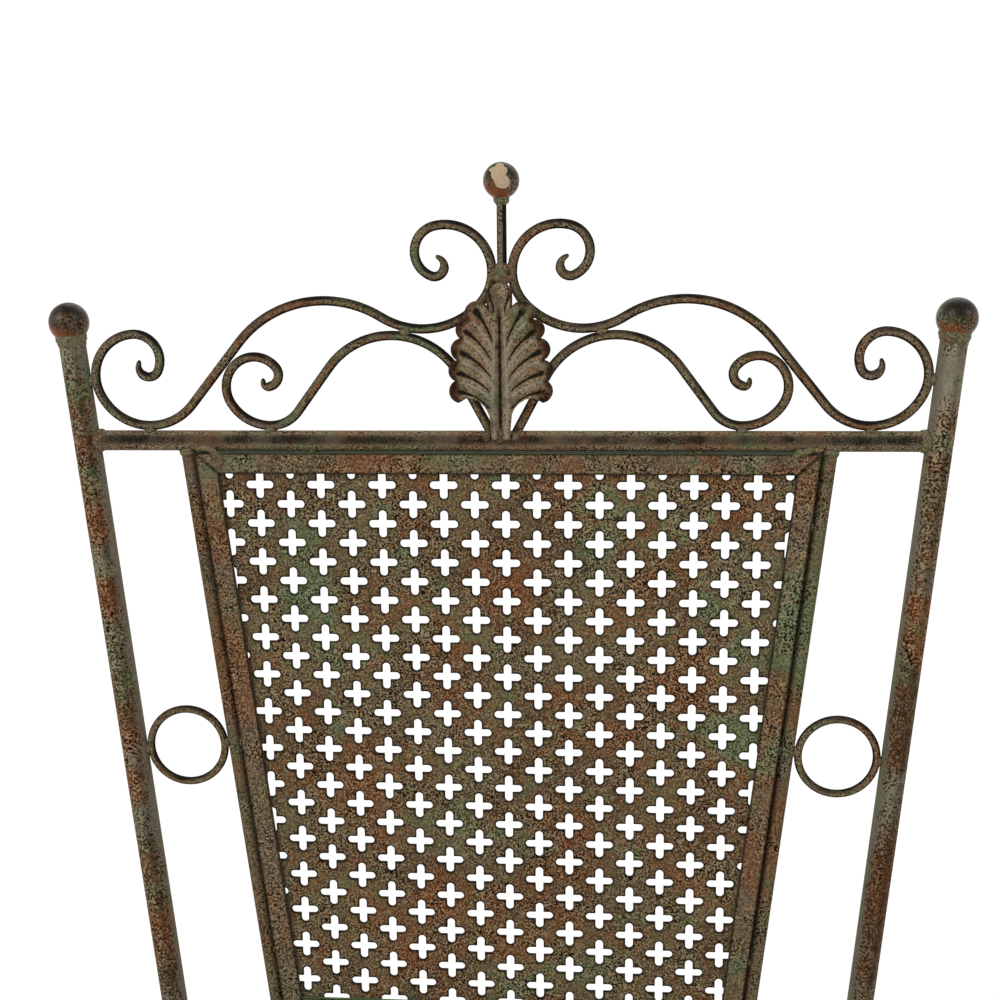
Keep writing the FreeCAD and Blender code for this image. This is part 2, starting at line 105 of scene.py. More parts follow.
# Camera: where the photograph was taken from, one 1000 by 1000 frame
camera = {
    "place": (0.0654, -0.5340, 1.1037),
    "right": (0.99642, 0.08072, -0.02518),
    "down": (0.00475, -0.35075, -0.93646),
    "forward": (-0.08442, 0.93298, -0.34988),
    "lens": 57.24,
    "sensor": 36.0,
    "farthest": 200,
}
lensData = bpy.data.cameras.new("camera")
lensData.lens = camera["lens"]
lensData.sensor_width = camera["sensor"]
lensData.clip_end = camera["farthest"]
cameraObject = bpy.data.objects.new("camera", lensData)
turn = Matrix([camera["right"], [-c for c in camera["down"]], [-c for c in camera["forward"]]]).transposed()
cameraObject.matrix_world = Matrix.Translation(camera["place"]) @ turn.to_4x4()
scene.collection.objects.link(cameraObject)
scene.camera = cameraObject

# Studio: white paper floor, soft lamps and a white surround. Each lamp has its side, strength and spread.
studio = {
    "floorHalf": 60.0,
    "floorColour": "#ececea",
    "floorLift": 0.16,
    "surround": 0.46,
    "lamps": [
        ("keyLamp", (-0.85, -0.75, 0.90), 1.50, 30),
        ("fillLamp", (0.95, -0.45, 0.70), 0.80, 25),
        ("rearLamp", (0.15, 0.95, 0.95), 0.80, 50),
    ],
}
for lampName, toward, strength, spread in studio["lamps"]:
    lampData = bpy.data.lights.new(lampName, "SUN")
    lampData.energy = strength
    lampData.angle = radians(spread)
    lamp = bpy.data.objects.new(lampName, lampData)
    lamp.rotation_euler = Vector(toward).to_track_quat("Z", "Y").to_euler()
    scene.collection.objects.link(lamp)

surround = bpy.data.worlds.new("surround")
scene.world = surround
surround.use_nodes = True
tree = surround.node_tree
tree.nodes.clear()
level = addNode(tree, "ShaderNodeMapRange",
                {"Value": backdropSeen(tree), "To Min": studio["surround"], "To Max": 1.0})
paper = addNode(tree, "ShaderNodeBackground", {"Color": (1, 1, 1, 1), "Strength": level})
addNode(tree, "ShaderNodeOutputWorld", {"Surface": paper})

floorMesh = bpy.data.meshes.new("floor")
half = studio["floorHalf"]
floorCorners = [(-half, -half, 0), (half, -half, 0), (half, half, 0), (-half, half, 0)]
floorMesh.from_pydata(floorCorners, [], [(0, 1, 2, 3)])
floor = bpy.data.objects.new("floor", floorMesh)
scene.collection.objects.link(floor)
# Matt paper: even, without gloss, so that only the shadow shows on it
whitePaper, tree = newMaterial("white studio paper")
lift = addNode(tree, "ShaderNodeMath", {0: backdropSeen(tree), 1: studio["floorLift"]}, operation="MULTIPLY")
matte = addNode(tree, "ShaderNodeBsdfDiffuse", {"Color": linear(studio["floorColour"])})
glow = addNode(tree, "ShaderNodeEmission", {"Color": (1, 1, 1, 1), "Strength": lift})
both = addNode(tree, "ShaderNodeAddShader", {0: matte, 1: glow})
addNode(tree, "ShaderNodeOutputMaterial", {"Surface": both})
floorMesh.materials.append(whitePaper)
print("studio ready")

# Antique paint on iron: brown lacquer, sponged with rust, verdigris, tan and black.
# The eye gets soft blotches a few centimetres wide under a fine dry stipple, with a dull sheen.
tones = {
    "umber": "#5d4731",
    "olive": "#64593f",
    "brown": "#655746",
    "rust": "#7a4220",
    "verdigris": "#566d4b",
    "greyGreen": "#67614f",
    "stone": "#665e51",
    "dun": "#72644f",
    "clay": "#89765f",
    "paleGreen": "#8b8a78",
    "earth": "#3b2a1b",
    "tan": "#a69779",
    # Black for the sponged specks, and also for painted shade in crevices, along edges and on the sides of
    # bars
    "soot": "#070402",
    # Black used only for painted shade and painted dark reflection, laid on by the way a surface faces
    "ink": "#070608",
}
dryPaint = {
    "ground": "umber",
    "clouds": {
        "rust": (33.0, 4, 0.62),
        "green": (27.0, 4, 0.62),
        "tone": (41.0, 3, 0.55),
        "dull": (24.0, 3, 0.60),
        "zone": (16.0, 2, 0.50),
        "dent": (7.0, 2, 0.50),
        "grain": (2.1, 3, 0.70),
        "fleck": (1.05, 1, 0.55),
    },
    "stippleMm": 1.0,
    "stippleDetail": (1.5, 0.60),
    "roughness": (0.55, 0.75),
    "dullSpan": (0.3, 0.7),
    "gloss": 0.05,
    "index": 1.5,
    "bumpMm": 0.16,
    "dentHeight": 1.6,
    "stippleHeight": 0.6,
    "offsetMm": (0.0, 0.0, 0.0),
    "patchGain": 0.15,
    "edgeSamples": 6,
    "cornerSamples": 8,
}


def paintedIron(name, coats, **changes):
    # Clouds are noise: size in mm, detail, roughness. Coats go on in order, each over what is under it.
    # A coat grows from none to its share over a span of what it goes by. Clouds make that wander, patches
    # raise it near a place, and a zone thins the coat where another cloud is low.
    look = {**dryPaint, **changes}
    material, tree = newMaterial(name)
    place = addNode(tree, "ShaderNodeTexCoord").outputs["Object"]
    mm = addNode(tree, "ShaderNodeMapping",
                 {"Vector": place, "Scale": (1000, 1000, 1000), "Location": look["offsetMm"]})
    normal = addNode(tree, "ShaderNodeNewGeometry").outputs["Normal"]
    cloud = {}
    clouds = {**look["clouds"], "stipple": (look["stippleMm"], *look["stippleDetail"])}
    for layer, (size, detail, rough) in clouds.items():
        cloud[layer] = addNode(tree, "ShaderNodeTexNoise",
                               {"Vector": mm, "Scale": 1 / size, "Detail": detail, "Roughness": rough})
    colour = linear(tones[look["ground"]])
    for coat in coats:
        source, detail = coat["by"]
        if source == "cloud":
            value = cloud[detail]
        if source in ("toward", "flank"):
            value = addNode(tree, "ShaderNodeVectorMath", {0: normal, 1: Vector(detail).normalized()},
                            operation="DOT_PRODUCT")
        if source == "flank":
            # Low on the sides, the same on the front and the rear
            value = addNode(tree, "ShaderNodeMath", {0: value}, operation="ABSOLUTE")
        if source == "inward":
            # Sides that face the middle of the chair
            across = addNode(tree, "ShaderNodeSeparateXYZ", {0: place})
            hand = addNode(tree, "ShaderNodeMapRange",
                           {"Value": across, "From Min": -detail, "From Max": detail, "To Min": 1.0,
                            "To Max": -1.0})
            lean = addNode(tree, "ShaderNodeSeparateXYZ", {0: normal})
            value = addNode(tree, "ShaderNodeMath", {0: lean, 1: hand}, operation="MULTIPLY")
        if source == "edge":
            softened = addNode(tree, "ShaderNodeBevel", {"Radius": detail / 1000},
                               samples=look["edgeSamples"])
            value = addNode(tree, "ShaderNodeVectorMath", {0: normal, 1: softened}, operation="DISTANCE")
        if source == "corner":
            value = addNode(tree, "ShaderNodeAmbientOcclusion", {"Distance": detail / 1000},
                            samples=look["cornerSamples"])
            value = value.outputs["AO"]
        if source == "relief":
            value = addNode(tree, "ShaderNodeAttribute", attribute_name=detail).outputs["Fac"]
        for layer, amount in coat.get("wander", []):
            sway = addNode(tree, "ShaderNodeMath", {0: cloud[layer], 1: amount, 2: -amount / 2},
                           operation="MULTIPLY_ADD")
            value = addNode(tree, "ShaderNodeMath", {0: value, 1: sway})
        for x, u, v, reach in coat.get("patches", []):
            gap = addNode(tree, "ShaderNodeVectorMath", {0: place, 1: onBack(x, u, v)}, operation="DISTANCE")
            near = addNode(tree, "ShaderNodeMapRange",
                           {"Value": gap, "From Max": reach / 1000, "To Min": look["patchGain"],
                            "To Max": 0.0},
                           interpolation_type="SMOOTHSTEP")
            value = addNode(tree, "ShaderNodeMath", {0: value, 1: near})
        share = coat["share"]
        if "zone" in coat:
            layer, low, high, least = coat["zone"]
            share = addNode(tree, "ShaderNodeMapRange",
                            {"Value": cloud[layer], "From Min": low, "From Max": high,
                             "To Min": least * share, "To Max": share})
        start, full = coat["span"]
        amount = addNode(tree, "ShaderNodeMapRange",
                         {"Value": value, "From Min": start, "From Max": full, "To Max": share},
                         interpolation_type="SMOOTHSTEP")
        colour = addNode(tree, "ShaderNodeMix",
                         {"Factor": amount, "A": colour, "B": linear(tones[coat["tone"]])}, data_type="RGBA")
    swell = addNode(tree, "ShaderNodeMath", {0: cloud["dent"], 1: look["dentHeight"]}, operation="MULTIPLY")
    height = addNode(tree, "ShaderNodeMath", {0: cloud["stipple"], 1: look["stippleHeight"], 2: swell},
                     operation="MULTIPLY_ADD")
    bump = addNode(tree, "ShaderNodeBump",
                   {"Strength": 1.0, "Distance": look["bumpMm"] / 1000, "Height": height})
    smoothest, dullest = look["roughness"]
    low, high = look["dullSpan"]
    dull = addNode(tree, "ShaderNodeMapRange",
                   {"Value": cloud["grain"], "From Min": low, "From Max": high, "To Min": smoothest,
                    "To Max": dullest})
    paint = addNode(tree, "ShaderNodeBsdfPrincipled",
                    {"Base Color": colour, "Roughness": dull, "Normal": bump, "IOR": look["index"],
                     "Specular IOR Level": look["gloss"]})
    addNode(tree, "ShaderNodeOutputMaterial", {"Surface": paint})
    return material


def sponging(rustPatches=(), greenPatches=(), earthPatches=(), rust=0.80, black=0.90, tan=0.55, even=0.5,
             blackSpan=(0.50, 0.37), tanSpan=(0.51, 0.65), second="olive"):
    # The coats that all stock has, with the patches where the photograph shows them
    return [
        {"tone": second, "by": ("cloud", "tone"), "span": (0.40, 0.58), "share": 0.85,
         "wander": [("grain", 0.2)]},
        {"tone": "earth", "by": ("cloud", "dull"), "span": (0.54, 0.72), "share": 0.60,
         "wander": [("grain", 0.25)], "patches": earthPatches},
        {"tone": "rust", "by": ("cloud", "rust"), "span": (0.47, 0.67), "share": rust,
         "wander": [("grain", 0.25), ("fleck", 0.45)], "patches": rustPatches},
        {"tone": "verdigris", "by": ("cloud", "green"), "span": (0.52, 0.72), "share": 0.75,
         "wander": [("grain", 0.25), ("fleck", -0.45)], "patches": greenPatches},
        {"tone": "tan", "by": ("cloud", "stipple"), "span": tanSpan, "share": tan,
         "zone": ("zone", 0.36, 0.58, even)},
        {"tone": "soot", "by": ("cloud", "stipple"), "span": blackSpan, "share": black,
         "zone": ("zone", 0.40, 0.60, even)},
    ]


# One finish for each kind of stock. A patch is x, u, v on the back and its reach, mm.
# Punched sheet: rust and green blotches, grey-green where it meets the frame, painted shade in the crevice
# under the frame and black rims round the holes as painted shade
sheetPaint = paintedIron(
    "sponged paint on punched sheet",
    sponging(rustPatches=[(-8, 336, -3, 45), (-80, 228, -3, 40), (-47, 162, -3, 50), (94, 285, -3, 35)],
             greenPatches=[(-105, 356, -3, 40), (112, 318, -3, 40), (122, 264, -3, 35), (48, 378, -3, 35)],
             rust=0.65, black=1.0, tan=0.65, blackSpan=(0.50, 0.40))
    + [{"tone": "greyGreen", "by": ("corner", 6.0), "span": (0.80, 0.50), "share": 0.75,
        "wander": [("grain", 0.2)]},
       {"tone": "brown", "by": ("corner", 4.0), "span": (0.75, 0.45), "share": 0.6,
        "zone": ("rust", 0.42, 0.58, 0.1)},
       # Painted shade: black in the crevice where the sheet runs under the frame
       {"tone": "soot", "by": ("corner", 2.6), "span": (0.62, 0.44), "share": 0.9,
        "wander": [("grain", 0.2)]},
       # Painted shade: black rims where the face turns into the dark walls of the holes
       {"tone": "soot", "by": ("edge", 1.8), "span": (0.02, 0.16), "share": 0.98}],
    offsetMm=(13.0, 5.0, 7.0), stippleMm=0.95)
# Angle iron: browner, a black line of painted shade along its edges, green on the ledges that face up
framePaint = paintedIron(
    "sponged paint on angle iron",
    sponging(rustPatches=[(-62, 408, -5, 45), (-148, 377, -5, 35), (-140, 300, -5, 70), (132, 205, -5, 70)],
             greenPatches=[(140, 358, -5, 40), (142, 320, -5, 35), (134, 250, -5, 40)],
             rust=0.55, black=1.0, blackSpan=(0.50, 0.39))
    # Painted shade: black along the edges of the angle iron, for the shadow line where it meets the sheet
    + [{"tone": "soot", "by": ("edge", 1.8), "span": (0.02, 0.28), "share": 0.94,
        "wander": [("stipple", 0.2)]},
       {"tone": "verdigris", "by": ("toward", (0.0, 0.0, 1.0)), "span": (0.60, 0.90), "share": 0.85,
        "wander": [("grain", 0.3)]}],
    offsetMm=(41.0, 0.0, 3.0), stippleMm=1.05, ground="brown")
# Posts: coarser stipple, a grey strip on the inner side that is partly grey-green paint and partly painted
# reflection of the white surround, a broken black streak down the front as painted dark reflection
postPaint = paintedIron(
    "sponged paint on post bar",
    sponging(rustPatches=[(-204, 350, -7, 70), (-209, 388, -7, 45), (-197, 248, -7, 60), (205, 330, -7, 80),
                          (201, 250, -7, 120), (215, 430, -7, 60), (190, 160, -7, 90)],
             greenPatches=[(-210, 400, -7, 25), (213, 420, -7, 15)],
             black=1.0, tan=0.70, even=0.7, blackSpan=(0.51, 0.41))
    + [{"tone": "earth", "by": ("cloud", "tone"), "span": (0.58, 0.74), "share": 0.65,
        "wander": [("stipple", 0.2)],
        "patches": [(201, 290, -7, 110), (194, 225, -7, 150), (188, 165, -7, 150), (-184, 140, -7, 120)]},
       {"tone": "paleGreen", "by": ("cloud", "tone"), "span": (0.52, 0.68), "share": 0.5,
        "wander": [("stipple", 0.9)], "patches": [(-216, 450, -7, 52), (215, 445, -7, 40)]},
       # Partly painted reflection of the white surround, partly grey-green paint: the strip on the sides that
       # face the middle
       {"tone": "stone", "by": ("inward", 0.02), "span": (0.55, 0.85), "share": 0.75,
        "wander": [("tone", 0.9), ("dent", 0.4), ("stipple", 0.9)]},
       {"tone": "verdigris", "by": ("inward", 0.02), "span": (0.55, 0.95), "share": 0.25,
        "wander": [("dent", 0.6)], "zone": ("green", 0.46, 0.60, 0.0)},
       # Painted dark reflection: a broken black streak down the face that looks toward the front
       {"tone": "soot", "by": ("toward", (0.42, -0.90, 0.20)), "span": (0.95, 1.10), "share": 0.75,
        "wander": [("dent", 0.24), ("stipple", 0.45)]}],
    offsetMm=(3.0, 17.0, 0.0), stippleMm=1.20)
# Rails: paler dun, with a painted dark reflection as a black line along the front
railPaint = paintedIron(
    "sponged paint on rail bar",
    sponging(rust=0.6, tan=0.65, second="dun", blackSpan=(0.51, 0.39))
    # Painted dark reflection: a broken black line along the front of the bar
    + [{"tone": "ink", "by": ("toward", (0.05, -0.92, 0.40)), "span": (0.86, 1.02), "share": 0.95,
        "wander": [("dent", 0.14), ("stipple", 0.75)], "zone": ("dull", 0.42, 0.54, 0.7)}],
    offsetMm=(9.0, 1.0, 23.0), ground="dun", bumpMm=0.12)
# Scroll rods: rust underneath, painted dark reflection on top and painted shade along both sides, so that the
# bends look drawn with a pen
rodPaint = paintedIron(
    "sponged paint on scroll rod",
    sponging(rust=0.7)
    + [{"tone": "rust", "by": ("toward", (0.0, -0.55, -0.84)), "span": (0.50, 0.95), "share": 0.6,
        "wander": [("dent", 0.50), ("fleck", 0.5)], "zone": ("rust", 0.42, 0.58, 0.1)},
       # Painted dark reflection on the faces that look up and toward the front
       {"tone": "ink", "by": ("toward", (0.42, -0.25, 0.87)), "span": (0.45, 0.80), "share": 0.96,
        "wander": [("dent", 0.60), ("stipple", 0.9)], "zone": ("dull", 0.40, 0.56, 0.6)},
       # Painted shade along both sides of the rod as seen from the front
       {"tone": "soot", "by": ("flank", (0.05, -0.94, 0.34)), "span": (0.84, 0.58), "share": 0.94,
        "wander": [("dent", 0.35), ("stipple", 0.5)]}],
    offsetMm=(0.0, 29.0, 11.0), ground="brown", bumpMm=0.10)
# Stem: as the rods, with painted shade down one side
stemPaint = paintedIron(
    "sponged paint on stem rod",
    sponging(rust=0.6)
    # Painted shade down the right-hand side of the stem
    + [{"tone": "ink", "by": ("toward", (0.86, -0.50, 0.0)), "span": (0.60, 0.78), "share": 0.96,
        "wander": [("dent", 0.3), ("stipple", 0.3)]},
       # Painted shade along both sides as seen from the front
       {"tone": "soot", "by": ("flank", (0.05, -0.94, 0.34)), "span": (0.76, 0.50), "share": 0.9,
        "wander": [("stipple", 0.5)]}],
    offsetMm=(5.0, 2.0, 14.0), ground="brown", bumpMm=0.10)
# Balls: handled smooth, so glossier, painted dark reflection on top and rust below
ballPaint = paintedIron(
    "sponged paint on steel ball",
    sponging(black=1.0, tan=0.45, even=0.9, blackSpan=(0.53, 0.42))
    + [{"tone": "rust", "by": ("toward", (-0.30, -0.55, -0.78)), "span": (0.40, 0.95), "share": 0.85,
        "wander": [("dent", 0.5), ("grain", 0.4), ("stipple", 0.6)]},
       # Painted dark reflection over the top of the ball
       {"tone": "ink", "by": ("toward", (0.10, -0.50, 0.86)), "span": (0.35, 1.15), "share": 0.95,
        "wander": [("dent", 1.4), ("stipple", 2.4)]}],
    roughness=(0.20, 0.32), gloss=0.12, bumpMm=0.12, offsetMm=(21.0, 7.0, 5.0), stippleMm=0.95)
# Cast leaf: pale ribs that are wiped paint and painted highlight, black in the channels as painted shade,
# rust and black at the rims
leafPaint = paintedIron(
    "sponged paint on cast leaf",
    sponging(earthPatches=[(-1, 489, -9, 13)], rust=0.7, tan=0.60, even=0.6, second="clay")
    + [{"tone": "rust", "by": ("relief", "rim"), "span": (0.35, 1.25), "share": 0.55,
        "wander": [("grain", 0.9), ("dent", 1.8)]},
       {"tone": "soot", "by": ("relief", "rim"), "span": (0.62, 1.05), "share": 0.90,
        "wander": [("stipple", 1.2), ("dent", 0.8)]},
       # Pale raised ribs: wiped paint and painted highlight
       {"tone": "paleGreen", "by": ("relief", "ridge"), "span": (0.50, 1.05), "share": 0.80,
        "wander": [("grain", 0.6), ("stipple", 0.8)]},
       {"tone": "soot", "by": ("cloud", "dent"), "span": (0.58, 0.76), "share": 0.6,
        "wander": [("stipple", 0.8)], "patches": [(-1, 487, -9, 11)]},
       # Painted shade: black down the channels and the groove
       {"tone": "soot", "by": ("relief", "hollow"), "span": (0.35, 0.90), "share": 0.97,
        "wander": [("grain", 0.6), ("stipple", 1.3)]}],
    offsetMm=(2.0, 3.0, 31.0), ground="clay", bumpMm=0.14)
# Weld metal: grey-green lumps with a little more sheen, painted shade where they meet the bars
weldPaint = paintedIron(
    "paint over weld metal",
    sponging(rust=0.35)
    + [{"tone": "greyGreen", "by": ("cloud", "dent"), "span": (0.46, 0.66), "share": 0.5},
       {"tone": "verdigris", "by": ("cloud", "zone"), "span": (0.46, 0.64), "share": 0.35,
        "wander": [("fleck", -0.5)]},
       # Painted shade where the weld meets the bar
       {"tone": "soot", "by": ("corner", 2.0), "span": (0.55, 0.25), "share": 0.6}],
    roughness=(0.40, 0.58), gloss=0.12, offsetMm=(6.0, 12.0, 18.0))
print("paint ready")

# Bare primer under chipped paint: chalky beige, fine grain, no gloss
primer = {"low": "#8c7358", "high": "#c6ad90", "grainMm": 0.9, "detail": 3, "bumpMm": 0.12, "roughness": 0.8}
barePrimer, tree = newMaterial("bare primer under chipped paint")
place = addNode(tree, "ShaderNodeTexCoord").outputs["Object"]
grit = addNode(tree, "ShaderNodeTexNoise",
               {"Vector": place, "Scale": 1000 / primer["grainMm"], "Detail": primer["detail"]})
tint = addNode(tree, "ShaderNodeMix",
               {"Factor": grit, "A": linear(primer["low"]), "B": linear(primer["high"])}, data_type="RGBA")
bump = addNode(tree, "ShaderNodeBump", {"Strength": 1.0, "Distance": primer["bumpMm"] / 1000, "Height": grit})
chalk = addNode(tree, "ShaderNodeBsdfPrincipled",
                {"Base Color": tint, "Roughness": primer["roughness"], "Normal": bump})
addNode(tree, "ShaderNodeOutputMaterial", {"Surface": chalk})

# Moulded rubber feet: near-black, matt, scuffed grey
moulded = {
    "clean": "#1c1b1a",
    "scuffed": "#4a4743",
    "scuffMm": 6,
    "scuffDetail": 5,
    "scuffSpan": (0.5, 0.7),
    "pebbleMm": 0.8,
    "pebbleDetail": 1,
    "bumpStrength": 0.6,
    "bumpMm": 0.1,
    "roughness": 0.75,
}
footRubber, tree = newMaterial("moulded black rubber")
place = addNode(tree, "ShaderNodeTexCoord").outputs["Object"]
scuff = addNode(tree, "ShaderNodeTexNoise",
                {"Vector": place, "Scale": 1000 / moulded["scuffMm"], "Detail": moulded["scuffDetail"]})
pebble = addNode(tree, "ShaderNodeTexNoise",
                 {"Vector": place, "Scale": 1000 / moulded["pebbleMm"], "Detail": moulded["pebbleDetail"]})
scuffFrom, scuffTo = moulded["scuffSpan"]
worn = addNode(tree, "ShaderNodeMapRange", {"Value": scuff, "From Min": scuffFrom, "From Max": scuffTo})
tint = addNode(tree, "ShaderNodeMix",
               {"Factor": worn, "A": linear(moulded["clean"]), "B": linear(moulded["scuffed"])},
               data_type="RGBA")
bump = addNode(tree, "ShaderNodeBump",
               {"Strength": moulded["bumpStrength"], "Distance": moulded["bumpMm"] / 1000, "Height": pebble})
rubber = addNode(tree, "ShaderNodeBsdfPrincipled",
                 {"Base Color": tint, "Roughness": moulded["roughness"], "Normal": bump})
addNode(tree, "ShaderNodeOutputMaterial", {"Surface": rubber})

stock = [
    (("back_sheet", "seat_sheet"), sheetPaint),
    (("panel_angle", "panel_top", "panel_bottom", "side_bar", "seat_brace"), framePaint),
    (("back_post", "front_leg", "seat_hoop"), postPaint),
    (("crest_rail", "lower_back_rail", "seat_rear_rail", "side_stretcher", "cross_stretcher"), railPaint),
    (("upper_scroll", "lower_scroll", "ring_"), rodPaint),
    (("centre_stem",), stemPaint),
    (("finial_ball", "top_ball"), ballPaint),
    (("acanthus_leaf",), leafPaint),
    (("foot_cap",), footRubber),
]
for name, node in cadNodes.items():
    for starts, material in stock:
        if name.startswith(starts):
            coat = material
    if "weld" in name:
        coat = weldPaint
    if not node.material_slots:
        node.data.materials.append(coat)
    for slot in node.material_slots:
        slot.material = coat
print("stock painted")

# Cast leaf: lobes between raised ribs, a grooved midrib, rounded tips. Points are x and height above the
# crest rail's axis, mm. Spans and shares run along a lobe from midrib to tip, or across it from rib to rib.
leaf = {
    "tip": (0.0, 79.3),
    "tipBend": (2.6, 75.0),
    "tipRelief": 0.7,
    "brow": (4.5, 77.7),
    "shoulder": (6.3, 72.8),
    "notches": [(6.3, 67.6), (16.6, 60.9), (20.0, 51.7), (21.7, 40.9), (22.8, 30.6), (20.9, 19.7)],
    "crowns": [(14.5, 69.2), (21.9, 57.0), (24.6, 47.0), (26.0, 36.0), (25.8, 25.2)],
    "ribFeet": [(2.3, 53.0), (2.7, 43.5), (3.0, 35.0), (3.2, 27.5), (3.4, 21.0)],
    "underside": [(18.9, 20.9), (16.6, 22.4), (9.6, 20.2), (5.6, 14.0)],
    "throat": (3.3, 13.0),
    "foot": (4.4, 1.8),
    "footRib": (2.6, 1.8),
    "halfWidth": 26.0,
    "edgeFront": 5.0,
    "arch": 4.1,
    "thickness": 2.6,
    "edgeDrop": 1.3,
    "edgeFrom": 0.86,
    "undersideSpan": (0.10, 0.25),
    "aside": -0.9,
    "ridge": 0.70,
    "ribBend": (0.38, 0.10),
    "ribShare": 0.16,
    "ribEnd": (0.86, 1.0),
    "bandShare": 0.10,
    "bandFade": (56, 68),
    "bandLoss": 0.8,
    "rimSpan": (0.66, 0.95),
    "hollow": 1.25,
    "channelAt": 0.56,
    "channelShare": 0.13,
    "channelFlare": 0.9,
    "flareSpan": (0.50, 0.80),
    "channelStart": (0.02, 0.16),
    "channelEnd": (0.78, 0.96),
    "channelDark": 0.72,
    "groove": 1.7,
    "grooveRound": 0.8,
    "grooveFade": (60, 74),
    "grooveLoss": 0.8,
    "grooveHalf": 1.5,
    "grooveDark": 1.8,
    "grooveColumns": 4,
    "pad": 0.50,
    "padRound": 0.7,
    "castMm": 0.16,
    "castScale": 0.45,
    "castSeed": 3.0,
    "along": 22,
    "across": 16,
    "stemColumns": 4,
    "stemRows": 14,
    "ribSteps": 40,
    "edgeSteps": 30,
    "shortSteps": 20,
    "leastArea": 1e-7,
}


def arcPoints(a, b, c, count):
    # Points on the circle through three points, from a to c by way of b
    ax, ay, bx, by, cx, cy = *a, *b, *c
    d = 2 * (ax * (by - cy) + bx * (cy - ay) + cx * (ay - by))
    sa, sb, sc = ax * ax + ay * ay, bx * bx + by * by, cx * cx + cy * cy
    ox = (sa * (by - cy) + sb * (cy - ay) + sc * (ay - by)) / d
    oy = (sa * (cx - bx) + sb * (ax - cx) + sc * (bx - ax)) / d
    radius = sqrt((ax - ox) ** 2 + (ay - oy) ** 2)
    start, middle, end = (atan2(q - oy, p - ox) for p, q in (a, b, c))
    sweep = (end - start) % (2 * pi)
    if (middle - start) % (2 * pi) > sweep:
        sweep -= 2 * pi
    return [(ox + radius * cos(start + sweep * i / count), oy + radius * sin(start + sweep * i / count))
            for i in range(count + 1)]


def bezierPoints(a, b, c, count):
    out = []
    for i in range(count + 1):
        t = i / count
        out.append(tuple((1 - t) ** 2 * p + 2 * t * (1 - t) * q + t * t * r for p, q, r in zip(a, b, c)))
    return out


def evenly(points, count):
    # The same line with its points at equal steps
    lengths = [0.0]
    for p, q in zip(points, points[1:]):
        lengths.append(lengths[-1] + sqrt((q[0] - p[0]) ** 2 + (q[1] - p[1]) ** 2))
    out = []
    k = 0
    for i in range(count + 1):
        want = lengths[-1] * i / count
        while k < len(points) - 2 and lengths[k + 1] < want:
            k += 1
        t = (want - lengths[k]) / max(lengths[k + 1] - lengths[k], 1e-9)
        out.append((points[k][0] + (points[k + 1][0] - points[k][0]) * t,
                    points[k][1] + (points[k + 1][1] - points[k][1]) * t))
    return out


